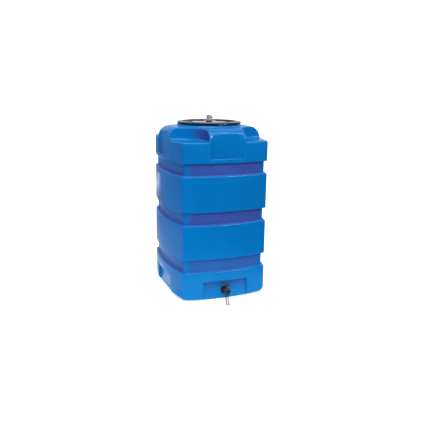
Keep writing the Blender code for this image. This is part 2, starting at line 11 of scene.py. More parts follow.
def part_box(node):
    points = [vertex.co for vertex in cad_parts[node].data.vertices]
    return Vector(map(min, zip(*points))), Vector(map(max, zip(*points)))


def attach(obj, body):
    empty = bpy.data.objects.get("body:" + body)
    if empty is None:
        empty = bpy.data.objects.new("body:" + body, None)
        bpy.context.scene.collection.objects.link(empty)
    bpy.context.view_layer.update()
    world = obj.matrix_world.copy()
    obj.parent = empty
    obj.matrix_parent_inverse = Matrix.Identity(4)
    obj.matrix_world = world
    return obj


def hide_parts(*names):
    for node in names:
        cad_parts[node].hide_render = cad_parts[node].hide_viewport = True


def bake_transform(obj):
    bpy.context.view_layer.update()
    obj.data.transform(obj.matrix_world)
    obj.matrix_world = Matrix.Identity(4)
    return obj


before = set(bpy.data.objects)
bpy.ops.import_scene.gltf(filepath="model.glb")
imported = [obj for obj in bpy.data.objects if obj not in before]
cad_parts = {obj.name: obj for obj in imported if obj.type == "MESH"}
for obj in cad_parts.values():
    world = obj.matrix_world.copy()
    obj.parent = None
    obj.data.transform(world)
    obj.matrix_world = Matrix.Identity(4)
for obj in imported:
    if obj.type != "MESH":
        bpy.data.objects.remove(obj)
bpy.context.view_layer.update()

# ------------------------------------------------------------ driving sizes
RING_LOW, RING_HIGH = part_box("lid_ring")
TANK_LOW, TANK_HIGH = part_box("tank_body")
AXIS_Y = 0.5 * (RING_LOW.y + RING_HIGH.y)  # the tank's own upright axis
HALF_WIDTH = 0.5 * (TANK_HIGH.x - TANK_LOW.x)
HALF_DEPTH = 0.5 * (TANK_HIGH.y - TANK_LOW.y)
NECK_TOP = TANK_HIGH.z
BULGE_SIDE = 0.0462
BULGE_FRONT = 0.0407
CORNER_X = HALF_WIDTH - BULGE_SIDE
CORNER_Y = HALF_DEPTH - BULGE_FRONT
WALL = 0.005
MM = 1000.0  # millimetres in a metre

GROOVES = ((0.1956, 0.3019), (0.5277, 0.6316), (0.8612, 0.9607))
GROOVE_DEPTH = 0.014
BELT_EDGE_R = 0.006  # vertical corners on the belts
GROOVE_EDGE_R = 0.03  # and in the grooves between them
GROOVE_BREAK = 0.0115  # where the wall below leaves the belt
GROOVE_FOOT = 0.0165  # where the groove's flat part starts
GROOVE_HEAD = 0.007  # and how far below its top it ends
BASE_FILLET = 0.05
BASE_STEPS = 14
BASE_POWER = 0.9  # a little squarer than a round fillet

SHOULDER_Z = 1.096
SHOULDER_R = 0.085
TOP_Z = SHOULDER_Z + SHOULDER_R
LEDGE_Z = 1.0985
PIER_HALF = 0.129
CUT_R = 0.19
CUT_CENTRE = PIER_HALF + CUT_R

PANEL_HALF = 0.111
PANEL_BOTTOM = 0.985
PANEL_INSET = 0.026
SIDE_PANEL_INSET = 0.025
POCKET_HALF = 0.161
POCKET_BOTTOM = -0.01
POCKET_TOP = 0.134
POCKET_INSET = 0.0323
NECK_R = 0.2085
NECK_BORE = 0.19
COLLAR_R = 0.238  # foot of the low collar under the ring
OUTLET_HOLE_R = 0.0134


# ------------------------------------------------------------- mesh helpers
def make_mesh(name, vertices, faces, smooth_angle=40.0, painted_shading=None):
    """A named object from numpy vertices and face lists, shaded smooth by angle."""
    data = bpy.data.meshes.new(name)
    data.from_pydata([tuple(map(float, v)) for v in vertices], [], faces)
    # Painted shade, one value for each vertex, is kept as a point attribute for the material.
    if painted_shading is not None:
        layer = data.attributes.new("painted_shade", "FLOAT", "POINT")
        layer.data.foreach_set("value", np.asarray(painted_shading, np.float32))
    build = bmesh.new()
    build.from_mesh(data)
    bmesh.ops.remove_doubles(build, verts=build.verts, dist=0.00002)
    bmesh.ops.dissolve_degenerate(build, edges=build.edges, dist=0.000005)
    bmesh.ops.recalc_face_normals(build, faces=build.faces)
    build.to_mesh(data)
    build.free()
    data.shade_smooth()
    data.set_sharp_from_angle(angle=math.radians(smooth_angle))
    made = bpy.data.objects.new(name, data)
    bpy.context.scene.collection.objects.link(made)
    return made


def finish_piece(piece, body, slot, finish, *nodes):
    """Give a piece its material, its body and the CAD nodes it stands for; the slot argument is not
    used.
    """
    piece.data.materials.clear()
    piece.data.materials.append(finish)
    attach(piece, body)
    if nodes:
        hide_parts(*nodes)
    return piece


# ------------------------------------------------------------- tank surface
def front_depth(x, inset):
    """Distance from the axis to the front wall, at a distance x from its middle."""
    return CORNER_Y - inset + BULGE_FRONT * (1.0 - (x / (CORNER_X - inset)) ** 2)


def side_depth(y, inset):
    return CORNER_X - inset + BULGE_SIDE * (1.0 - (y / (CORNER_Y - inset)) ** 2)


def lengths_along(points):
    """Distance from the first point to each point, along the polyline."""
    return np.concatenate([[0.0], np.cumsum(np.linalg.norm(np.diff(points, axis=0), axis=1))])


def soften(points, corner, reach):
    """Round one corner of a polyline, moving only its own points near the corner."""
    place = lengths_along(points)
    place -= place[corner]
    before, after = (np.array([np.interp(at, place, line) for line in points.T])
                     for at in (-reach, reach))
    rounded = points.copy()
    for index in np.nonzero(np.abs(place) < reach)[0]:
        t = 0.5 * (1.0 + place[index] / reach)
        rounded[index] = ((1 - t) ** 2 * before + 2 * t * (1 - t) * points[corner]
                          + t * t * after)
    return rounded


PIER_COLUMNS = np.array([0.0, 0.016, 0.032, 0.048, 0.064, 0.08, 0.094, 0.103, 0.1065, 0.1085,
                         0.11, 0.1115, 0.113, 0.115, 0.118, 0.1205, 0.1228, 0.125,
                         0.127, PIER_HALF])
POCKET_COLUMNS = np.array([0.135, 0.143, 0.151, 0.156, 0.158, 0.1595, 0.161, 0.1625, 0.1645,
                           0.167, 0.176])
STEPS_TO_CORNER = 12


CORNER_CROWDING = 1.8  # how much closer the columns get near the corner
CUT_CROWDING = 1.7


def wall_columns(corner):
    """Side coordinates from the pier's edge to the vertical corner, closer near the corner."""
    start = POCKET_COLUMNS[-1]
    t = np.linspace(0.0, 1.0, STEPS_TO_CORNER + 1)[1:]
    rest = start + (corner - start) * (1.0 - (1.0 - t) ** CORNER_CROWDING)
    return np.concatenate([POCKET_COLUMNS, rest])


FRONT_COLUMNS = wall_columns(CORNER_X)
SIDE_COLUMNS = wall_columns(CORNER_Y)
CORNER_INDEX = len(PIER_COLUMNS) + len(FRONT_COLUMNS) - 1
CUT_COLUMNS = len(FRONT_COLUMNS) + len(SIDE_COLUMNS) - 1


def held(position, corner, inset):
    """Keep the middle of a wall where it is and squeeze the rest in by the inset."""
    hold = POCKET_COLUMNS[-1]
    squeezed = hold + (position - hold) * (corner - inset - hold) / (corner - hold)
    return np.where(position <= hold, position, squeezed)


def belt_slice(inset, corner_r):
    """One quarter of the plan below the ledge, from mid-front to mid-side."""
    x = held(np.concatenate([PIER_COLUMNS, FRONT_COLUMNS]), CORNER_X, inset)
    front = np.stack([x, front_depth(x, inset)], 1)
    y = held(np.concatenate([PIER_COLUMNS, SIDE_COLUMNS]), CORNER_Y, inset)
    side = np.stack([side_depth(y, inset), y], 1)[::-1]
    points = np.vstack([front, side[1:]])
    return soften(points, CORNER_INDEX, corner_r)


def pier_edge(depth, inset, cut_r):
    """Where a wall meets the corner cut: (along the wall, out from the axis)."""
    along = CUT_CENTRE - cut_r
    for _ in range(12):
        out = depth(along, inset)
        drop = max(CUT_CENTRE - out, 0.0)
        along = CUT_CENTRE - math.sqrt(cut_r ** 2 - drop ** 2)
    return along, depth(along, inset)


PIER_EDGE_REACH = 0.008
PIER_FREE = 0.118  # pier columns up to here keep their place


def crown_slice(inset, cut_r):
    """One quarter of the plan above the ledge: pier, cut-away corner, pier."""
    front_x, front_y = pier_edge(front_depth, inset, cut_r)
    side_y, side_x = pier_edge(side_depth, inset, cut_r)
    lead = max(front_y - CUT_CENTRE, 0.0)
    tail = max(side_x - CUT_CENTRE, 0.0)
    first = math.asin(max(CUT_CENTRE - front_y, 0.0) / cut_r)
    last = math.acos(max(CUT_CENTRE - side_x, 0.0) / cut_r)
    arc = cut_r * (last - first)
    length = lead + arc + tail
    t = np.linspace(0.0, 1.0, CUT_COLUMNS + 2)[1:-1]
    share = np.where(t < 0.5, 0.5 * (2 * t) ** CUT_CROWDING,
                     1.0 - 0.5 * (2 * (1 - t)) ** CUT_CROWDING)
    cut = []
    for s in share * length:
        if s < lead:
            cut.append((CUT_CENTRE - cut_r, front_y - s))
        elif s < lead + arc:
            angle = first + (s - lead) / cut_r
            cut.append((CUT_CENTRE - cut_r * math.cos(angle), CUT_CENTRE - cut_r * math.sin(angle)))
        else:
            cut.append((side_x - (length - s), CUT_CENTRE - cut_r))

    def pier(edge):
        beyond = (PIER_COLUMNS - PIER_FREE) * (edge - PIER_FREE) / (PIER_HALF - PIER_FREE)
        return np.where(PIER_COLUMNS <= PIER_FREE, PIER_COLUMNS, PIER_FREE + beyond)

    x = pier(front_x)
    y = pier(side_y)
    front = np.stack([x, front_depth(x, inset)], 1)
    side = np.stack([side_depth(y, inset), y], 1)[::-1]
    points = np.vstack([front, np.array(cut), side])
    points = soften(points, len(PIER_COLUMNS) - 1, PIER_EDGE_REACH)
    return soften(points, len(points) - len(PIER_COLUMNS), PIER_EDGE_REACH)


def rounded_path(corners, steps, closed=False):
    """Round the corners of a path of (first, second, radius) points with short arcs."""
    path = []
    count = len(corners)
    for index, (first, second, radius) in enumerate(corners):
        if radius == 0.0 or (not closed and index in (0, count - 1)):
            path.append((first, second))
            continue
        here = Vector((first, second))
        back = Vector(corners[index - 1][:2]) - here
        ahead = Vector(corners[(index + 1) % count][:2]) - here
        turn = math.pi - back.angle(ahead)
        reach = min(radius * math.tan(0.5 * turn), 0.49 * back.length, 0.49 * ahead.length)
        start = here + back.normalized() * reach
        end = here + ahead.normalized() * reach
        for step in range(steps + 1):
            t = step / steps
            point = (1 - t) ** 2 * start + 2 * t * (1 - t) * here + t * t * end
            path.append((point.x, point.y))
    return path


LONG_STEP = 0.03  # a longer step up the wall is filled in
FILL_STEP = 0.022


def belt_path():
    """(height, inset) from the base fillet up to the foot of the ledge's edge."""
    path = []
    for step in range(BASE_STEPS + 1):
        angle = 0.5 * math.pi * step / BASE_STEPS
        path.append((BASE_FILLET * (1.0 - math.cos(angle) ** BASE_POWER),
                     BASE_FILLET * (1.0 - math.sin(angle) ** BASE_POWER)))
    corners = [(BASE_FILLET, 0.0, 0.0)]
    for low, high in GROOVES:
        corners += [(low + GROOVE_BREAK, 0.0, 0.013), (low + GROOVE_FOOT, GROOVE_DEPTH, 0.006),
                    (high - GROOVE_HEAD, GROOVE_DEPTH, 0.004), (high - 0.0005, 0.0, 0.006)]
    corners.append((LEDGE_Z - 0.01, 0.0, 0.0))
    path += rounded_path(corners, 5)[1:]
    marks = [middle + step * gap for middle, gap in ((POCKET_TOP, 0.003), (PANEL_BOTTOM, 0.0012))
             for step in range(-4, 5)]
    filled = [path[0]]
    for point in path[1:]:
        before = filled[-1]
        inner = [m for m in marks if before[0] + 0.0005 < m < point[0] - 0.0005]
        gap = point[0] - before[0]
        if not inner and gap > LONG_STEP:
            count = int(gap / FILL_STEP)
            inner = [before[0] + gap * (i + 1) / (count + 1) for i in range(count)]
        for z in inner:
            t = (z - before[0]) / gap
            filled.append((z, before[1] + t * (point[1] - before[1])))
        filled.append(point)
    return filled


def smooth_step(value, low, high):
    t = np.clip((value - low) / (high - low), 0.0, 1.0)
    return t * t * (3.0 - 2.0 * t)


PLANE_BLEND = 0.004  # how softly a bowed wall runs into a pressed plane


def press_flat(out, along, z, half, low, high, plane, soft, level):
    """Push a wall in to a flat plane over one window, with soft edges."""
    window = 1.0 - smooth_step(along, half - 0.5 * soft, half + 0.5 * soft)
    window = window * smooth_step(z, low - level, low + level)
    window = window * (1.0 - smooth_step(z, high - level, high + level))
    gap = out - plane
    kept = plane + 0.5 * (gap - np.sqrt(gap * gap + PLANE_BLEND ** 2)) + 0.175 * PLANE_BLEND
    kept = np.minimum(out, kept)
    return out + window * (kept - out)


# Half width, bottom, top, inset on the front and on the sides, softness along and up.
WINDOWS = (
    (PANEL_HALF, PANEL_BOTTOM, TOP_Z + 1.0, PANEL_INSET, SIDE_PANEL_INSET, 0.044, 0.00225),
    (POCKET_HALF, POCKET_BOTTOM, POCKET_TOP, POCKET_INSET, POCKET_INSET, 0.0055, 0.011),
)


def recess(points, z):
    """Press the upper panels and the base pockets into one quarter slice."""
    x, y = points[:, 0].copy(), points[:, 1].copy()
    for half, low, high, inset, side_inset, soft, level in WINDOWS:
        pressed_y = press_flat(y, x, z, half, low, high, HALF_DEPTH - inset, soft, level)
        pressed_x = press_flat(x, y, z, half, low, high, HALF_WIDTH - side_inset, soft, level)
        x, y = pressed_x, pressed_y
    return np.stack([x, y], 1)


# Strengths of the painted shade, a darker violet-blue painted into the tank's colour:
FLAT_SIDE_SHADE = 0.24  # on both side walls
LOW_SIDE_SHADE = 0.85  # more, gathered in the lower part of a side groove
SIDE_SHADE = 0.32
EDGE_SHADE = 0.35
POCKET_SHADE = 0.55


def painted_slice_shade(points, inset, z):
    """Painted shade of one slice: full in the grooves mid-front, and on the sides gathered low,
    with a little over the whole side walls.
    """
    x, y = points[:, 0], points[:, 1]
    depth = min(inset / GROOVE_DEPTH, 1.0)
    index = np.arange(len(points))
    side_wall = index > CORNER_INDEX
    on_front = np.where(side_wall, 0.0, 1.0 - smooth_step(x, 0.235, 0.29))
    on_side = np.where(side_wall, EDGE_SHADE * (1.0 - smooth_step(y, 0.27, 0.33)), 0.0)
    for low, high in GROOVES:
        if low < z < high:
            share = (z - low - GROOVE_FOOT) / (high - low - GROOVE_FOOT - GROOVE_HEAD)
            pooled = LOW_SIDE_SHADE * (1.0 - smooth_step(share, 0.08, 0.7))
            fade = 1.0 - smooth_step(y, 0.302, 0.334)
            on_side = np.where(side_wall, (SIDE_SHADE + pooled) * fade, 0.0)
    flat_side = np.where(side_wall, FLAT_SIDE_SHADE, 0.0)
    return np.maximum(depth * (on_front * groove_share(z) + on_side), flat_side)


def groove_share(z):
    """The lowest groove gets light from the floor, so it is shaded less."""
    return 0.62 + 0.38 * smooth_step(z, 0.3, 0.5)


def row_of(points, z, painted_shading=0.0):
    """One slice as (n, 4), the fourth column painted shade; z and the painted shade are given for
    each point or for the whole slice.
    """
    count = len(points)
    return np.column_stack([points, np.broadcast_to(z, count), np.broadcast_to(painted_shading, count)])


def quarter_rows():
    """Outer skin as quarter slices of x, y, z and painted shade, from the floor to the neck."""
    rim = belt_slice(BASE_FILLET, BELT_EDGE_R)
    rows = [row_of(rim * scale, 0.0) for scale in (0.0, 0.3, 0.6, 0.85)]
    for z, inset in belt_path():
        depth = min(inset / GROOVE_DEPTH, 1.0) if z > BASE_FILLET else 0.0
        corner_r = BELT_EDGE_R + (GROOVE_EDGE_R - BELT_EDGE_R) * depth
        if z < BASE_FILLET:
            corner_r = BELT_EDGE_R + 0.55 * inset
        plain = belt_slice(inset, corner_r)
        points = recess(plain, z)
        # Painted shade in the grooves and on the side walls, above the base fillet.
        painted_shading = painted_slice_shade(plain, inset, z) if z > BASE_FILLET else 0.0
        # Painted shade in the base pockets, strongest where the wall is pressed in most.
        if z < POCKET_TOP + 0.006:
            sunk = np.linalg.norm(points - plain, axis=1)
            share = smooth_step(sunk, 0.004, 0.02) * smooth_step(z, 0.04, 0.115)
            painted_shading = np.maximum(painted_shading, POCKET_SHADE * share)
        rows.append(row_of(points, z, painted_shading))
    return rows + ledge_rows() + crown_rows()


PIER_MASK = np.ones(2 * len(PIER_COLUMNS) + CUT_COLUMNS, bool)
PIER_MASK[len(PIER_COLUMNS):-len(PIER_COLUMNS)] = False
LEDGE_EDGE = 0.01
LEDGE_FOOT = 0.013
LEDGE_RISE = 0.0015  # rise of the piers across the ledge's width
EDGE_STEPS = 5
LEDGE_STEPS = 6
SHOULDER_STEPS = 18
SHOULDER_TOP_EDGE = 0.01


def shoulder_inset(z):
    rise = min(max(z - SHOULDER_Z, 0.0), SHOULDER_R)
    return SHOULDER_R - math.sqrt(SHOULDER_R ** 2 - rise ** 2)


def cut_radius(z):
    """The corner cut flares at its foot and rounds over at its top."""
    foot = max(LEDGE_Z + LEDGE_FOOT - z, 0.0)
    top = max(z - (TOP_Z - SHOULDER_TOP_EDGE), 0.0)
    flare = LEDGE_FOOT - math.sqrt(max(LEDGE_FOOT ** 2 - foot ** 2, 0.0))
    over = SHOULDER_TOP_EDGE - math.sqrt(max(SHOULDER_TOP_EDGE ** 2 - top ** 2, 0.0))
    return CUT_R - flare + over


def ledge_rows():
    """Round the belt's top edge, cross the flat ledge and reach the corner walls."""
    rows = []
    foot = crown_slice(0.0, CUT_R - LEDGE_FOOT)
    edge = None
    for step in range(1, EDGE_STEPS + 1):
        angle = 0.5 * math.pi * step / EDGE_STEPS
        inset = LEDGE_EDGE * (1.0 - math.cos(angle))
        z = LEDGE_Z - LEDGE_EDGE + LEDGE_EDGE * math.sin(angle)
        plain = belt_slice(0.0, BELT_EDGE_R)
        pulled = belt_slice(inset, BELT_EDGE_R + inset)
        edge = points = np.where(PIER_MASK[:, None], plain, pulled)
        level = np.where(PIER_MASK, LEDGE_Z - LEDGE_EDGE + LEDGE_EDGE * step / EDGE_STEPS, z)
        rows.append(row_of(recess(points, level), level))
    for step in range(1, LEDGE_STEPS + 1):
        t = step / LEDGE_STEPS
        points = edge * (1 - t) + foot * t
        level = np.where(PIER_MASK, LEDGE_Z + LEDGE_RISE * t, LEDGE_Z)
        rows.append(row_of(recess(points, level), level))
    return rows


def painted_cut_shade(points, z):
    """Painted shade on the corner walls that face sideways, next to the front and back piers."""
    facing = (CUT_CENTRE - points[:, 0]) / CUT_R
    share = smooth_step(facing, 0.55, 0.95)
    fade = smooth_step(z, LEDGE_Z + 0.004, LEDGE_Z + 0.016)
    fade = fade * (1.0 - smooth_step(z, TOP_Z - 0.014, TOP_Z - 0.004))
    return np.where(PIER_MASK, 0.0, share * fade)


COLLAR_AND_NECK = (
    (COLLAR_R - 0.004, TOP_Z + 0.0012), (COLLAR_R - 0.007, TOP_Z + 0.008),
    (COLLAR_R - 0.009, TOP_Z + 0.0098), (NECK_R, TOP_Z + 0.01), (NECK_R, NECK_TOP - 0.002),
    (NECK_R - 0.0006, NECK_TOP - 0.0006), (NECK_R - 0.002, NECK_TOP),
    (NECK_BORE + 0.002, NECK_TOP), (NECK_BORE + 0.0006, NECK_TOP - 0.0006),
    (NECK_BORE, NECK_TOP - 0.002), (NECK_BORE, TOP_Z - 0.01),
)
PLATE_STEPS = 4  # slices across the top plate


def crown_rows():
    """Corner walls and shoulder, then the top plate in to the neck and its rim."""
    rows = []
    levels = [LEDGE_Z + LEDGE_RISE + LEDGE_FOOT * (1.0 - math.cos(0.5 * math.pi * s / LEDGE_STEPS))
              for s in range(1, LEDGE_STEPS)]
    start = math.asin((LEDGE_Z + LEDGE_FOOT + 0.002 - SHOULDER_Z) / SHOULDER_R)
    for step in range(SHOULDER_STEPS + 1):
        angle = start + (0.5 * math.pi - start) * step / SHOULDER_STEPS
        levels.append(SHOULDER_Z + SHOULDER_R * math.sin(angle))
    for z in levels:
        points = crown_slice(shoulder_inset(z), cut_radius(z))
        rows.append(row_of(recess(points, z), z, painted_cut_shade(points, z)))
    rim = rows[-1][:, :2]
    heading = rim / np.linalg.norm(rim, axis=1)[:, None]
    for step in range(1, PLATE_STEPS + 1):
        t = step / PLATE_STEPS
        points = rim * (1 - t) + heading * COLLAR_R * t
        rows.append(row_of(points, TOP_Z))
    return rows + [row_of(heading * radius, z) for radius, z in COLLAR_AND_NECK]


def full_ring(quarter):
    """Mirror one quarter slice into the closed ring."""
    x, y, z, painted_shading = quarter.T
    one = np.stack([x, -y, z, painted_shading], 1)
    two = np.stack([x, y, z, painted_shading], 1)[::-1]
    three = np.stack([-x, y, z, painted_shading], 1)
    four = np.stack([-x, -y, z, painted_shading], 1)[::-1]
    return np.vstack([one, two[1:], three[1:], four[1:-1]])


def inner_skin(rings, steps):
    """Chosen slices moved in by the wall's thickness, from the top down."""
    grid = np.array(rings)[:, :, :3]
    around = np.roll(grid, -1, 1) - np.roll(grid, 1, 1)
    up = np.gradient(grid, axis=0)
    normal = np.cross(around, up)
    normal /= np.maximum(np.linalg.norm(normal, axis=2), 1e-9)[:, :, None]
    moved = grid - normal * WALL
    moved[:, :, 2] = np.clip(moved[:, :, 2], WALL, TOP_Z - WALL)
    plain = np.zeros((len(grid[0]), 1))
    return [np.hstack([moved[i], plain]) for i in steps]


INNER_STRIDE = 3  # the inner skin follows every third slice
INNER_BASE = 5  # down to this one


def make_tank(finish):
    """Outer skin, neck and inner skin as one closed mesh."""
    rings = [full_ring(quarter) for quarter in quarter_rows()]
    outer = len(rings) - len(COLLAR_AND_NECK) - PLATE_STEPS + 1
    steps = list(range(outer, INNER_BASE, -INNER_STRIDE)) + [INNER_BASE]
    rings += inner_skin(rings[:outer + 1], steps)
    size = len(rings[0])
    vertices = np.vstack(rings[1:])
    faces = band_faces(len(rings) - 1, size)
    start = len(vertices)
    vertices = np.vstack([vertices, [[0.0, 0.0, 0.0, 0.0]], [[0.0, 0.0, WALL, 0.0]]])
    last = (len(rings) - 2) * size
    for column in range(size):
        after = (column + 1) % size
        faces.append((start, after, column))
        faces.append((start + 1, last + column, last + after))
    vertices[:, 1] += AXIS_Y
    # The fourth column is the painted shade.
    body = make_mesh("tank_shell", vertices[:, :3], faces, 50.0, vertices[:, 3])
    low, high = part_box("outlet_tail")
    middle = 0.5 * (low + high)
    cut_round(body, OUTLET_HOLE_R, 0.06, (middle.x, middle.y + 0.01, middle.z),
              (0.5 * math.pi, 0.0, 0.0))
    finish_piece(body, "tank", "tank_blue", finish, "tank_body")


def cut_away(piece, tool):
    """Subtract a tool from a piece and remove the tool."""
    step = piece.modifiers.new("cut", "BOOLEAN")
    step.object = tool
    step.operation = "DIFFERENCE"
    step.solver = "EXACT"
    bpy.context.view_layer.objects.active = piece
    bpy.ops.object.modifier_apply(modifier=step.name)
    bpy.data.objects.remove(tool, do_unlink=True)


def cut_box(piece, size, place, turn):
    """Cut a straight slot: a box of the given size, turned about the upright axis."""
    bpy.ops.mesh.primitive_cube_add(size=1.0, location=place, rotation=(0.0, 0.0, turn),
                                    scale=size)
    cut_away(piece, bpy.context.object)


def cut_round(piece, radius, length, place, turn):
    """Cut a round hole of the given length about a place."""
    bpy.ops.mesh.primitive_cylinder_add(vertices=48, radius=radius, depth=length,
                                        location=place, rotation=turn)
    cut_away(piece, bpy.context.object)


# ------------------------------------------------------------ turned pieces
OUTLET_NUT_LOW, OUTLET_NUT_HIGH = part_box("outlet_nut")
POCKET_Y = OUTLET_NUT_HIGH.y + 0.0026  # face of the pocket behind the outlet
OUTLET_Z = 0.5 * (OUTLET_NUT_LOW.z + OUTLET_NUT_HIGH.z)
AXIS = (0.0, AXIS_Y, 0.0)
OUTLET = (0.0, POCKET_Y, OUTLET_Z)


def on_axis(axis, across, up, height):
    """A point in the cross-section of an axis: +Z, outward along -Y, or along +X."""
    if axis == "Z":
        return (across, up, height)
    if axis == "Y":
        return (across, -height, up)
    return (height, across, up)


def lathe_data(corners, axis, origin, segments=96, grip=None):
    """Vertices and faces of a (radius, height, fillet) outline in millimetres, turned about
    an axis; grip(angle, radius, height) draws points in, which makes ribs and scallops."""
    vertices, faces, rings = [], [], []
    corners = [[value / MM for value in corner] for corner in corners]
    for radius, height in rounded_path(corners, 4, True):
        if radius < 1e-7:
            rings.append([len(vertices)])
            vertices.append(on_axis(axis, 0.0, 0.0, height))
            continue
        ring = []
        for step in range(segments):
            angle = 2.0 * math.pi * step / segments
            reach = radius - (grip(angle, radius, height) if grip else 0.0)
            ring.append(len(vertices))
            vertices.append(on_axis(axis, reach * math.cos(angle), reach * math.sin(angle),
                                    height))
        rings.append(ring)
    for index, ring in enumerate(rings):
        other = rings[(index + 1) % len(rings)]
        if len(ring) == 1 and len(other) == 1:
            continue
        for step in range(segments):
            after = (step + 1) % segments
            if len(ring) == 1:
                faces.append((ring[0], other[after], other[step]))
            elif len(other) == 1:
                faces.append((ring[step], ring[after], other[0]))
            else:
                faces.append((ring[step], ring[after], other[after], other[step]))
    return np.array(vertices) + np.array(origin), faces


def join_data(*parts):
    """Several (vertices, faces) as one."""
    vertices, faces, start = [], [], 0
    for points, polygons in parts:
        vertices.append(points)
        faces += [tuple(start + i for i in polygon) for polygon in polygons]
        start += len(points)
    return np.vstack(vertices), faces


def turned(name, body, node, finish, axis, origin, corners, segments, grip=None):
    """A black lathe piece, finished, on its body and in place of its CAD node."""
    made = make_mesh(name, *lathe_data(corners, axis, origin, segments, grip), 35.0)
    finish_piece(made, body, "fitting_black", finish, node)


def band_faces(rows, size, wrap=False):
    """Quads of closed rows of points; wrap also joins the last row to the first."""
    return [(row * size + column, row * size + (column + 1) % size,
             (row + 1) % rows * size + (column + 1) % size, (row + 1) % rows * size + column)
            for row in range(rows if wrap else rows - 1) for column in range(size)]


def full_turn(count):
    """Even angles round one turn."""
    return np.linspace(0.0, 2.0 * math.pi, count + 1)[:-1]


def wire_loop(path, wire, sides=8):
    """A closed round wire along closed path points, as vertices and faces."""
    path = np.asarray(path, float)
    count = len(path)
    ahead = np.roll(path, -1, 0) - np.roll(path, 1, 0)
    ahead /= np.linalg.norm(ahead, axis=1)[:, None]
    plane = np.cross(path[0] - path[count // 2], path[count // 4] - path[count // 2])
    plane /= np.linalg.norm(plane)
    outward = np.cross(ahead, plane)
    vertices = []
    for index in range(count):
        for angle in full_turn(sides):
            vertices.append(path[index] + wire * (math.cos(angle) * outward[index]
                                                  + math.sin(angle) * plane))
    return np.array(vertices), band_faces(count, sides, True)


def where(test, pull):
    """Grip that draws in by pull(angle) where test(radius, height) holds."""
    return lambda angle, radius, height: pull(angle) if test(radius, height) else 0.0


def ribs(count, depth, width, test):
    """Grip that leaves narrow raised ribs and draws in the wall between them."""
    def pull(angle):
        part = (angle * count / (2.0 * math.pi)) % 1.0
        return depth if width < part < 1.0 - 1e-6 else 0.0
    return where(test, pull)


def scallops(count, depth, test):
    """Grip of shallow rounded hollows."""
    return where(test, lambda a: depth * max(math.cos(count * a), -0.35) * 0.74 + depth * 0.26)


# ---------------------------------------------------------------- materials
class Graph:
    """A node tree, with the few kinds of node that the finishes and the sky are made of."""

    def __init__(self, tree):
        self.tree = tree

    def feed(self, node, values):
        """Fill a node's sockets with outputs, numbers, vectors or rgb colours."""
        for key, value in values.items():
            socket = node.inputs[key]
            if isinstance(value, bpy.types.NodeSocket):
                self.tree.links.new(value, socket)
            else:
                socket.default_value = (*value, 1.0) if socket.type == "RGBA" else value

    def node(self, kind, values=None):
        made = self.tree.nodes.new("ShaderNode" + kind)
        self.feed(made, values or {})
        return made

    def axes(self, system):
        """The x, y and z of a coordinate system, as outputs by name."""
        place = self.node("TexCoord").outputs[system]
        return self.node("SeparateXYZ", {"Vector": place}).outputs

    def noise(self, scale, detail=3.0, stretch=(1.0, 1.0, 1.0), distortion=0.0):
        """A noise value in object metres."""
        place = self.node("TexCoord").outputs["Object"]
        mapping = self.node("Mapping", {"Vector": place, "Scale": stretch})
        return self.node("TexNoise", {
            "Vector": mapping.outputs["Vector"], "Scale": scale, "Detail": detail,
            "Distortion": distortion}).outputs["Fac"]

    def spread(self, value, low, high, start=0.3, end=0.7):
        """Map a value between start and end to a value between low and high."""
        return self.node("MapRange", {
            "Value": value, "From Min": start, "From Max": end,
            "To Min": low, "To Max": high}).outputs["Result"]

    def mix(self, share, first, second):
        """Mix two colours, given as rgb or as outputs, by a value."""
        made = self.node("Mix")
        made.data_type = "RGBA"
        self.feed(made, {"Factor": share, "A": first, "B": second})
        return made.outputs["Result"]

    def maths(self, operation, first, second):
        made = self.node("Math", {0: first, 1: second})
        made.operation = operation
        return made.outputs["Value"]

    def bump(self, value, strength, distance):
        return self.node("Bump", {"Height": value, "Strength": strength,
                                  "Distance": distance})


def new_material(name, rgb, roughness, metallic=0.0):
    made = bpy.data.materials.new(name)
    made.use_nodes = True
    graph = Graph(made.node_tree)
    shader = made.node_tree.nodes["Principled BSDF"]
    graph.feed(shader, {"Base Color": rgb, "Roughness": roughness, "Metallic": metallic})
    return made, graph, shader


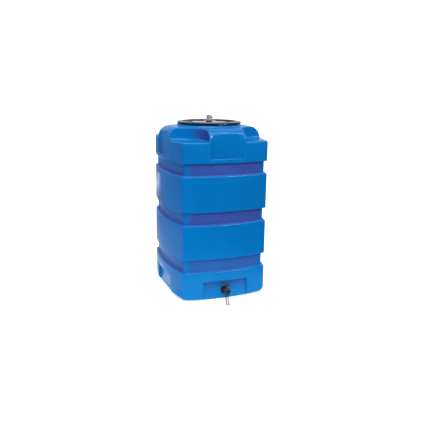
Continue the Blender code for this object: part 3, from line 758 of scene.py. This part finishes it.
def tank_material():
    """Rotomoulded polyethylene: satin, faintly wavy, with fine peel and light scuffs, plus painted
    shade in the grooves, pockets and on the sides, and painted floor light low down.
    """
    made, graph, shader = new_material("blue_polyethylene", (0.001, 0.163, 0.5), 0.16)
    clean = graph.mix(graph.spread(graph.noise(5.0, 4.0), 0.0, 1.0),
                      (0.0004, 0.157, 0.48), (0.0008, 0.172, 0.515))
    # Painted shade: the per-vertex shade attribute, broken up by noise, mixes in a darker
    # violet-blue.
    marker = graph.node("Attribute")
    marker.attribute_name = "painted_shade"
    painted_shade = marker.outputs["Fac"]
    patchy = graph.spread(graph.noise(7.0), 0.75, 1.0)
    shaded = graph.mix(graph.maths("MULTIPLY", painted_shade, patchy), clean, (0.034, 0.066, 0.345))
    # Painted light from the floor: a paler blue towards the bottom, patchy, and less of it in the
    # painted shade.
    low = graph.spread(graph.axes("Object")["Z"], 1.0, 0.0, 0.16, 0.34)
    floor_light_paint = graph.maths("MULTIPLY", low, graph.spread(graph.noise(9.0, 4.0), 0.26, 0.4))
    floor_light_unshaded = graph.maths("MULTIPLY", floor_light_paint, graph.spread(painted_shade, 1.0, 0.15, 0.0, 0.5))
    paler = graph.mix(floor_light_unshaded, shaded, (0.01, 0.255, 0.6))
    scuff = graph.noise(34.0, 6.0, (1.0, 1.0, 0.35), 0.6)
    worn = graph.mix(graph.spread(scuff, 0.0, 0.05, 0.6, 0.75), paler, (0.05, 0.24, 0.56))
    rough = graph.maths("ADD", graph.spread(graph.noise(60.0, 5.0), 0.13, 0.2),
                        graph.spread(painted_shade, 0.0, 0.34, 0.28, 0.7))
    peel = graph.bump(graph.noise(420.0, 2.0), 0.025, 0.0003)
    wave = graph.bump(graph.noise(8.0, 2.0), 0.06, 0.008)
    graph.feed(wave, {"Normal": peel.outputs["Normal"]})
    graph.feed(shader, {"Base Color": worn, "Roughness": rough, "Specular IOR Level": 0.15,
                        "Normal": wave.outputs["Normal"]})
    return made


def patchy_material(name, base, colours, patches, wear, grain, extras=None, metallic=0.0):
    """A finish with patches of a second colour, uneven roughness and fine relief.

    base: rgb and roughness; patches: noise scale and detail, strongest share, and the noise
    values where it starts and ends; wear: noise scale and detail, lowest and highest
    roughness; grain: noise scale, detail and stretch, relief strength and depth.
    """
    made, graph, shader = new_material(name, *base, metallic)
    scale, detail, most, start, end = patches
    share = graph.spread(graph.noise(scale, detail), 0.0, most, start, end)
    scale, detail, low, high = wear
    rough = graph.spread(graph.noise(scale, detail), low, high)
    scale, detail, stretch, strength, depth = grain
    relief = graph.bump(graph.noise(scale, detail, stretch), strength, depth)
    graph.feed(shader, {"Base Color": graph.mix(share, *colours), "Roughness": rough,
                        "Normal": relief.outputs["Normal"], **(extras or {})})
    return made


EVEN = (1.0, 1.0, 1.0)
DRAWN = (1.0, 1.0, 0.1)


def black_material(name, base, low, high, relief, gloss, coat, grit=(45.0, 0.04)):
    """Moulded black polypropylene: fine grain and dust, with (noise scale, tone) in grit."""
    scale, tone = grit
    return patchy_material(
        name, (base, 0.4), (base, (tone, 0.94 * tone, 1.15 * tone)),
        (scale, 5.0, 0.6, 0.48, 0.76), (160.0, 4.0, low, high),
        (1500.0, 2.0, EVEN, relief, 0.0003),
        {"Specular IOR Level": gloss, "Coat Weight": coat, "Coat Roughness": 0.06})


def metal_material(name, base, low, high, stain):
    """Drawn or turned metal with fine scratches and a little tarnish."""
    return patchy_material(
        name, (base, 0.3), (base, stain), (260.0, 5.0, 0.7, 0.5, 0.8), (700.0, 4.0, low, high),
        (2600.0, 2.0, DRAWN, 0.15, 0.0002), metallic=1.0)


TANK_BLUE = tank_material()
LID_BLACK = black_material("lid_black", (0.007, 0.009, 0.018), 0.06, 0.12, 0.04, 1.0, 1.0)
RING_BLACK = black_material("ring_black", (0.007, 0.009, 0.022), 0.1, 0.18, 0.05, 0.6, 0.15)
FITTING_BLACK = black_material("fitting_black_moulded", (0.008, 0.008, 0.013), 0.1, 0.24,
                               0.14, 0.8, 0.3, (110.0, 0.16))
VENT_GREY = patchy_material(
    "vent_grey_plastic", ((0.24, 0.24, 0.265), 0.5),
    ((0.19, 0.19, 0.215), (0.33, 0.33, 0.35)), (70.0, 5.0, 1.0, 0.3, 0.7),
    (200.0, 4.0, 0.38, 0.58), (1200.0, 3.0, EVEN, 0.2, 0.0003))
RUBBER = patchy_material(
    "seal_rubber_matt", ((0.024, 0.024, 0.024), 0.8),
    ((0.02, 0.02, 0.02), (0.05, 0.048, 0.046)), (120.0, 5.0, 0.6, 0.3, 0.7),
    (300.0, 3.0, 0.68, 0.88), (2200.0, 2.0, EVEN, 0.25, 0.0002))
SEAT_WHITE = patchy_material(
    "seat_ptfe", ((0.76, 0.76, 0.74), 0.4),
    ((0.7, 0.7, 0.68), (0.8, 0.8, 0.78)), (400.0, 3.0, 1.0, 0.3, 0.7),
    (800.0, 3.0, 0.32, 0.5), (3000.0, 2.0, EVEN, 0.1, 0.0002))
BRASS = metal_material("ball_brass_turned", (0.66, 0.46, 0.19), 0.16, 0.34, (0.3, 0.19, 0.07))
STEEL = metal_material("chain_steel_drawn", (0.06, 0.06, 0.066), 0.28, 0.46,
                       (0.03, 0.028, 0.026))

make_tank(TANK_BLUE)

CAD_FINISH = {
    "lid_gasket": RUBBER, "vent_stem": FITTING_BLACK, "vent_seal": RUBBER,
    "vent_screen": STEEL, "outlet_tail": FITTING_BLACK, "inner_gasket": RUBBER,
    "outer_gasket": RUBBER, "seat_inner": SEAT_WHITE, "seat_outer": SEAT_WHITE,
    "ball": BRASS, "valve_stem": BRASS, "stem_seal": RUBBER,
    "valve_handle": FITTING_BLACK, "handle_screw": STEEL, "cap_seal": RUBBER,
}
SOFT_EDGES = {"valve_handle": 0.0011, "handle_screw": 0.0004, "valve_stem": 0.0003,
              "outlet_tail": 0.0006, "vent_stem": 0.0005}
for node_name, finish in CAD_FINISH.items():
    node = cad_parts[node_name]
    node.data.materials.clear()
    node.data.materials.append(finish)
    if node_name in SOFT_EDGES:
        edge = node.modifiers.new("soft_edges", "BEVEL")
        edge.width = SOFT_EDGES[node_name]
        edge.segments = 3
        edge.limit_method = "ANGLE"
        edge.angle_limit = math.radians(38.0)
        edge.harden_normals = True


# ---------------------------------------------------------------- lid pieces
VENT_SCREW_Z = 1.238
VENT_SLOTS = 3


def make_lid_pieces():
    """Ring nut, dished disc and the vent on it."""
    turned("lid_ring_moulded", "ring", "lid_ring", RING_BLACK, "Z", AXIS, (
        (211.5, 1192, 0.4), (223.5, 1192, 1), (227.9, 1207, 1.2), (229.1, 1209.6, 1),
        (226.8, 1211, 3), (196.5, 1215.1, 3), (191.5, 1214.9, 1.6), (191.5, 1209, 0),
        (211.5, 1209, 0),
    ), 432, ribs(72, 0.0007, 0.34, lambda r, z: r > 0.2236 and 1.1925 < z < 1.2062))
    turned("lid_disc_moulded", "lid", "lid_disc", LID_BLACK, "Z", AXIS, (
        (11.5, 1205.5, 0), (113, 1205.5, 1), (119, 1191, 1), (184.5, 1191, 1),
        (189, 1203.7, 1), (207.5, 1203.7, 0), (207.5, 1208.7, 0), (190, 1208.7, 1),
        (183.5, 1195, 2), (125, 1195, 3), (119, 1209.5, 2.2), (11.5, 1210.5, 0),
    ), 192)
    turned("vent_nut_moulded", "lid", "vent_nut", FITTING_BLACK, "Z", AXIS, (
        (11.6, 1210.8, 0), (22.8, 1210.8, 0.6), (23.5, 1212.5, 0.6), (23.5, 1215.2, 0.8),
        (21.5, 1216.6, 0.8), (11.6, 1216.6, 0),
    ), 144, scallops(12, 0.0014, lambda r, z: r > 0.02))
    hood = make_mesh("vent_hood_moulded", *lathe_data((
        (14, 1216.9, 0.3), (20.5, 1216.9, 0.8), (20.5, 1219.8, 1), (18, 1222.9, 1.2),
        (18, 1254.9, 3.8), (0, 1254.9, 0), (0, 1251.9, 0), (14, 1251.9, 1.2),
    ), "Z", AXIS), 35.0)
    for slot in range(VENT_SLOTS):
        cut_box(hood, (0.005, 0.06, 0.006), (0.0, AXIS_Y, 1.2179),
                math.pi * (slot + 0.5) / VENT_SLOTS)
    cut_round(hood, 0.003, 0.02, (0.02, AXIS_Y, VENT_SCREW_Z), (0.0, 0.5 * math.pi, 0.0))
    finish_piece(hood, "vent_hood", "vent_grey", VENT_GREY, "vent_cap")
    screw_at = (0.0, AXIS_Y, VENT_SCREW_Z)
    turned("vent_screw_moulded", "vent_hood", "vent_thumb_screw", FITTING_BLACK, "X", screw_at, (
        (0, 12.5, 0), (2.6, 12.5, 0.3), (2.6, 18.3, 0), (5, 18.3, 0.4), (5.6, 19.8, 0.4),
        (5.6, 26.6, 0.6), (4, 28, 0.8), (0, 28, 0),
    ), 60, scallops(10, 0.0005, lambda r, h: r > 0.0048 and h > 0.019))


# ------------------------------------------------------------- outlet pieces
# How far out from the pocket face the stem, the chain's ring and its eye stand.
STEM_OUT = 0.0302
CHAIN_RING_OUT = 0.0165
EYE_OUT = 0.0693
CHAIN_RING_R = 0.0186
CHAIN_RING_WIRE = 0.0008
EYE_R = 0.0027
EYE_WIRE = 0.0009
THREAD_TURNS = 4


def make_outlet_pieces():
    """Wall nut, valve barrel, hose thread and the capped end."""
    turned("outlet_nut_moulded", "tank", "outlet_nut", FITTING_BLACK, "Y", OUTLET, (
        (13.4, 2.6, 0), (30.3, 2.6, 0.6), (31.5, 4.2, 1), (30.4, 11.2, 1.2), (27, 12.6, 1.2),
        (13.4, 12.6, 0),
    ), 192, scallops(16, 0.0016, lambda r, h: r > 0.0285))
    barrel = lathe_data((
        (13.3, 12.9, 0), (17.5, 12.9, 0.5), (17.5, 20.5, 0.6), (19, 22, 0.8), (19, 40, 0.4),
        (18.4, 40.4, 0.3), (18.4, 41.8, 0.3), (19, 42.2, 0.4), (19, 45.2, 0.8),
        (17.6, 46.6, 0.6), (13.3, 46.6, 0),
    ), "Y", OUTLET)
    boss_at = (0.0, POCKET_Y - STEM_OUT, OUTLET_Z)
    boss = lathe_data((
        (6.2, 30, 0), (6.2, 33, 0.2), (8.2, 33, 0.6), (8.2, 19.5, 3), (11, 15, 0),
        (4.3, 15, 0), (4.3, 30, 0),
    ), "Z", boss_at, 64)
    body = make_mesh("valve_barrel_moulded", *join_data(barrel, boss), 35.0)
    finish_piece(body, "tank", "fitting_black", FITTING_BLACK, "valve_body")
    nipple = [(7.5, 41.7, 0), (13, 41.7, 0.3), (13, 46.9, 0), (16.5, 46.9, 0.5),
              (16.5, 49.9, 0.5), (12, 49.9, 0)]
    for turn in range(THREAD_TURNS):
        start = 50.5 + 2.0 * turn
        nipple += [(12, start, 0), (11.3, start + 0.7, 0.2), (11.3, start + 1.0, 0.2),
                   (12, start + 1.6, 0)]
    nipple += [(12, 58.8, 0.3), (7.5, 58.8, 0.2)]
    turned("outlet_thread_moulded", "tank", "outlet_nipple", FITTING_BLACK, "Y", OUTLET, nipple, 72)
    turned("dust_cap_moulded", "cap", "dust_cap", FITTING_BLACK, "Y", OUTLET, (
        (12.5, 50.2, 0.2), (20.7, 50.2, 0.6), (21.5, 52, 0.8), (21.5, 62.2, 2.2),
        (19.5, 64.5, 1.4), (12, 64.5, 0.4), (11.6, 64, 0.3), (6, 64, 0.3), (5.6, 64.5, 0.4),
        (2.3, 64.5, 0), (2.3, 61.5, 0), (12.5, 61.5, 0),
    ), 192, ribs(32, 0.0007, 0.5, lambda r, h: r > 0.0205 and 0.0528 < h < 0.0615))
    rivet = lathe_data((
        (0, 59, 0), (4, 59, 0.3), (4, 61.2, 0.3), (1.9, 61.2, 0), (1.9, 64.8, 0),
        (3.4, 64.8, 0.2), (3, 66.8, 0.6), (0, 67, 0),
    ), "Y", OUTLET, 32)
    eye = wire_loop([(0.0, POCKET_Y - EYE_OUT + EYE_R * math.cos(a),
                      OUTLET_Z + EYE_R * math.sin(a)) for a in full_turn(24)], EYE_WIRE)
    swivel = make_mesh("swivel_eye_wire", *join_data(rivet, eye), 40.0)
    finish_piece(swivel, "cap_swivel", "chain_steel", STEEL, "swivel_eye")
    ring = make_mesh("chain_ring_wire", *wire_loop(
        [(CHAIN_RING_R * math.cos(a), POCKET_Y - CHAIN_RING_OUT,
          OUTLET_Z + CHAIN_RING_R * math.sin(a)) for a in full_turn(72)], CHAIN_RING_WIRE, 10),
        60.0)
    finish_piece(ring, "tank", "chain_steel", STEEL, "chain_ring")


# --------------------------------------------------------------------- chain
# Millimetres across, out from the pocket face, and up: from the ring on the valve down
# to the floor, round in a loop, and up to the eye on the cap.
CHAIN_ROUTE = (
    (0, 19, 44.8), (0, 22.2, 41.4), (-1, 26.2, 38.4), (-1, 31.8, 36.2), (-1, 35, 32),
    (-1, 36, 22), (-2, 37.2, 11), (-3, 41.5, 4.8), (-7, 52, 3.7), (-15, 72, 3.7),
    (-24, 98, 3.7), (-30, 121, 3.7), (-27, 135, 3.7), (-18, 136.2, 3.7), (-12, 127, 3.7),
    (-12, 111, 3.7), (-8, 93, 3.7), (-3, 80, 4.1), (-1, 73, 8.5), (0, 70, 19), (0, 69.3, 36),
    (0, 69.3, 60.5),
)
RISE_POINT = 17  # where the strand up to the cap begins
SPAN_STEPS = 24
LINK_LENGTH = 0.0116
LINK_WIDTH = 0.007
LINK_WIRE = 0.00115  # radius
LINK_PITCH = LINK_LENGTH - 4.0 * LINK_WIRE - 0.0001


def route_samples(points):
    """Catmull-Rom samples through the route's points."""
    samples = []
    last = len(points) - 1
    for index in range(last):
        before = points[max(index - 1, 0)]
        start, end = points[index], points[index + 1]
        after = points[min(index + 2, last)]
        for step in range(SPAN_STEPS):
            t = step / SPAN_STEPS
            samples.append(0.5 * (2.0 * start + (end - before) * t
                                  + (2.0 * before - 5.0 * start + 4.0 * end - after) * t * t
                                  + (3.0 * start - before - 3.0 * end + after) * t ** 3))
    samples.append(points[-1])
    return np.array(samples)


def link_path(centre, ahead, side):
    """Stadium-shaped centre line of one link, long along ahead and wide along side."""
    bend = 0.5 * LINK_WIDTH - LINK_WIRE
    straight = 0.5 * LINK_LENGTH - LINK_WIRE - bend
    path = []
    for end in (1.0, -1.0):
        for step in range(9):
            angle = 0.5 * math.pi - math.pi * step / 8
            path.append(centre + end * (ahead * (straight + bend * math.cos(angle))
                                        + side * bend * math.sin(angle)))
    return path


def make_chain():
    """Interlocked oval wire links along the route, each a quarter turn from the last."""
    route = [np.array((x / MM, POCKET_Y - out / MM, z / MM)) for x, out, z in CHAIN_ROUTE]
    line = route_samples(route)
    place = lengths_along(line)
    count = round(place[-1] / LINK_PITCH)
    stops = np.linspace(0.0, place[-1], count + 1)
    centres = np.stack([np.interp(stops, place, line[:, axis]) for axis in range(3)], 1)
    side = np.array((1.0, 0.0, 0.0))
    lying, hanging = [], []
    for index, centre in enumerate(centres):
        first = centres[max(index - 1, 0)]
        second = centres[min(index + 1, count)]
        ahead = (second - first) / np.linalg.norm(second - first)
        side = side - ahead * side.dot(ahead)
        side /= np.linalg.norm(side)
        other = np.cross(ahead, side)
        across = (side + (other if index % 2 else -other)) * math.sqrt(0.5)
        strand = hanging if stops[index] > place[SPAN_STEPS * RISE_POINT] else lying
        strand.append(wire_loop(link_path(centre, ahead, across), LINK_WIRE))
    loop = make_mesh("chain_links_lying", *join_data(*lying), 80.0)
    finish_piece(loop, "tank", "chain_steel", STEEL, "retaining_chain")
    rise = make_mesh("chain_links_hanging", *join_data(*hanging), 80.0)
    rise.data.materials.append(STEEL)
    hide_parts("retaining_chain")
    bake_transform(rise)


make_lid_pieces()
make_outlet_pieces()
make_chain()


# ------------------------------------------------------------------- studio
CAMERA_YAW = math.radians(20.74)
CAMERA_PITCH = math.radians(13.07)
CAMERA_ROLL = math.radians(0.71)
CAMERA_PLACE = Vector((-1.3783, -3.7132 + AXIS_Y, 1.468))
FOCAL_SHARE = 548.2 / 423.0  # focal length over image width
SENSOR = 36.0


def make_camera():
    ahead = Vector((math.sin(CAMERA_YAW) * math.cos(CAMERA_PITCH),
                    math.cos(CAMERA_YAW) * math.cos(CAMERA_PITCH), -math.sin(CAMERA_PITCH)))
    level = Vector((math.cos(CAMERA_YAW), -math.sin(CAMERA_YAW), 0.0))
    over = level.cross(ahead)
    right = math.cos(CAMERA_ROLL) * level + math.sin(CAMERA_ROLL) * over
    upward = -math.sin(CAMERA_ROLL) * level + math.cos(CAMERA_ROLL) * over
    data = bpy.data.cameras.new("camera")
    data.sensor_width = SENSOR
    data.lens = FOCAL_SHARE * SENSOR
    camera = bpy.data.objects.new("camera", data)
    turn = Matrix((right, upward, -ahead)).transposed().to_4x4()
    camera.matrix_world = Matrix.Translation(CAMERA_PLACE) @ turn
    bpy.context.scene.collection.objects.link(camera)
    bpy.context.scene.camera = camera


WHITE = (1.0, 1.0, 1.0)
FAR_GLOW = 0.62
NEAR_GLOW = 0.5


def make_backdrop():
    """Pale floor that sweeps up into a wall behind."""
    profile = [(-9.0, 0.0), (3.0, 0.0)]
    for step in range(1, 9):
        angle = 0.5 * math.pi * step / 8
        profile.append((3.0 + 2.0 * math.sin(angle), 2.0 - 2.0 * math.cos(angle)))
    profile.append((5.0, 9.0))
    vertices = [(side * 12.0, y, z) for y, z in profile for side in (-1, 1)]
    faces = [(2 * i, 2 * i + 1, 2 * i + 3, 2 * i + 2) for i in range(len(profile) - 1)]
    floor = make_mesh("studio_floor", np.array(vertices), faces, 60.0)
    made, graph, shader = new_material("studio_white", (0.9, 0.9, 0.9), 0.85)
    shade = graph.spread(graph.noise(0.6, 2.0), 0.0, 1.0)
    graph.feed(shader, {
        "Base Color": graph.mix(shade, (0.9, 0.9, 0.9), (0.92, 0.92, 0.92)),
        "Specular IOR Level": 0.0, "Emission Color": WHITE, "Emission Strength": FAR_GLOW})
    floor.data.materials.append(made)
    floor.visible_glossy = False
    floor.visible_diffuse = False
    floor.location.z = -0.0005
    near = floor_disc("studio_floor_near", (-0.5, 0.7 + AXIS_Y), 1.9, 0.0)
    paler = made.copy()
    paler.name = "studio_white_near"
    paler.node_tree.nodes["Principled BSDF"].inputs["Emission Strength"].default_value = NEAR_GLOW
    near.data.materials.append(paler)
    near.visible_glossy = False
    mirror_finish(floor_disc("studio_floor_front", (-0.1, AXIS_Y), 1.1, -0.0003), 0.3, 0.3)
    left = floor_disc("studio_floor_left", (-1.05, 1.05 + AXIS_Y), 1.35, -0.0002)
    mirror_finish(left, 0.95, 0.28)
    rear = floor_card("studio_floor_rear", ((-0.46, 0.8), (3.6, 0.8), (3.6, 7.5), (-1.5, 7.5)),
                      -0.0001)
    mirror_finish(rear, 1.05, 0.36)
    beside = floor_card("studio_floor_beside", ((-0.47, 0.1), (-0.335, 0.1), (-0.335, 0.6),
                                                (-0.47, 0.6)), -0.00005)
    mirror_finish(beside, 0.95, 0.95, 0.45)


def mirror_finish(card, near_tone, far_tone, glow=0.0):
    """Floor that shows only in gloss; its tone changes away from the front, and it may glow."""
    made, graph, shader = new_material(card.name, (near_tone,) * 3, 0.85)
    away = graph.spread(graph.axes("Object")["Y"], 0.0, 1.0, 0.7, 2.2)
    graph.feed(shader, {
        "Base Color": graph.mix(away, (near_tone,) * 3, (far_tone,) * 3),
        "Specular IOR Level": 0.0, "Emission Color": WHITE, "Emission Strength": glow})
    card.data.materials.append(made)
    card.visible_camera = False
    card.visible_diffuse = False
    card.visible_shadow = False


def floor_card(name, outline, z):
    """A flat piece of the floor with a straight-edged outline."""
    card = make_mesh(name, [(x, y, z) for x, y in outline], [tuple(range(len(outline)))])
    return card


def floor_disc(name, centre, radius, z):
    """A round piece of the floor."""
    x, y = centre
    return floor_card(name, [(x + radius * math.cos(a), y + radius * math.sin(a))
                             for a in full_turn(96)], z)


def area_light(name, place, aim, size, energy, mirrored):
    """A lamp that shows only in reflections (mirrored), or one that is left out of them."""
    data = bpy.data.lights.new(name, "AREA")
    data.shape = "RECTANGLE"
    data.size, data.size_y = size
    data.energy = energy
    lamp = bpy.data.objects.new(name, data)
    lamp.location = place
    lamp.rotation_euler = (Vector(aim) - Vector(place)).to_track_quat("-Z", "Y").to_euler()
    lamp.visible_glossy = mirrored
    lamp.visible_diffuse = not mirrored
    bpy.context.scene.collection.objects.link(lamp)


def level_ramp(graph, value, stops):
    """Brightness by a direction's component, through (component, brightness) stops."""
    ramp = graph.node("ValToRGB", {"Fac": graph.spread(value, 0.0, 1.0, -1.0, 1.0)})
    made = ramp.color_ramp.elements
    made[0].position, made[0].color = 0.0, (*[stops[0][1]] * 3, 1.0)
    made[1].position, made[1].color = 1.0, (*[stops[-1][1]] * 3, 1.0)
    for component, level in stops:
        stop = made.new(0.5 * (component + 1.0))
        stop.color = (level, level, level, 1.0)
    return ramp.outputs["Color"]


def surround(graph, colour, strength=2.0):
    made = graph.node("Background", {"Color": colour, "Strength": strength})
    return made.outputs["Background"]


def choose_by(graph, share, first, second):
    return graph.node("MixShader", {"Fac": share, 1: first, 2: second}).outputs["Shader"]


# (component of the direction along +Z, brightness), with 1.0 shown as 2.0
SKY_LIGHT = ((-1.0, 0.1), (-0.1, 0.14), (0.1, 0.24), (1.0, 0.34))
REAR_MIRROR = ((-1.0, 0.08), (-0.25, 0.14), (-0.03, 0.11), (0.07, 0.31), (0.15, 0.38),
               (0.32, 0.27), (1.0, 0.28))
FRONT_MIRROR = ((-1.0, 0.0), (-0.05, 0.0), (0.15, 0.03), (0.5, 0.25), (1.0, 0.4))


def make_world():
    """White to the eye, a soft sky for the light, and a bright rear half in reflections."""
    world = bpy.data.worlds.new("studio")
    world.use_nodes = True
    graph = Graph(world.node_tree)
    toward = graph.axes("Generated")
    up = toward["Z"]
    cooled = graph.mix(level_ramp(graph, up, REAR_MIRROR), (0.0, 0.0, 0.0), (0.9, 1.0, 1.1))
    mirrored = choose_by(graph, graph.spread(toward["Y"], 0.0, 1.0, -0.15, 0.35),
                         surround(graph, level_ramp(graph, up, FRONT_MIRROR)),
                         surround(graph, cooled))
    path = graph.node("LightPath").outputs
    light = choose_by(graph, path["Is Glossy Ray"],
                      surround(graph, level_ramp(graph, up, SKY_LIGHT)), mirrored)
    seen = choose_by(graph, path["Is Camera Ray"], light, surround(graph, WHITE, 1.05))
    graph.feed(world.node_tree.nodes["World Output"], {"Surface": seen})
    world.cycles.sampling_method = "NONE"
    bpy.context.scene.world = world


def make_lights():
    make_world()
    area_light("key", (-0.5, -2.7, 3.9), (0.0, 0.0, 0.6), (2.4, 2.4), 132.0, False)
    area_light("key_mirrored", (-0.5, -1.0, 4.2), (0.0, 0.0, 0.6), (2.4, 2.4), 110.0, True)
    area_light("rim_left", (-1.7, 5.0, 1.6), (-0.35, 0.2, 0.6), (2.0, 2.0), 330.0, False)
    area_light("glint_right", (2.3, -3.3, 3.4), (0.0, 0.0, 0.9), (2.4, 0.4), 300.0, True)


make_camera()
make_backdrop()
make_lights()

bpy.context.scene.view_settings.view_transform = "Standard"
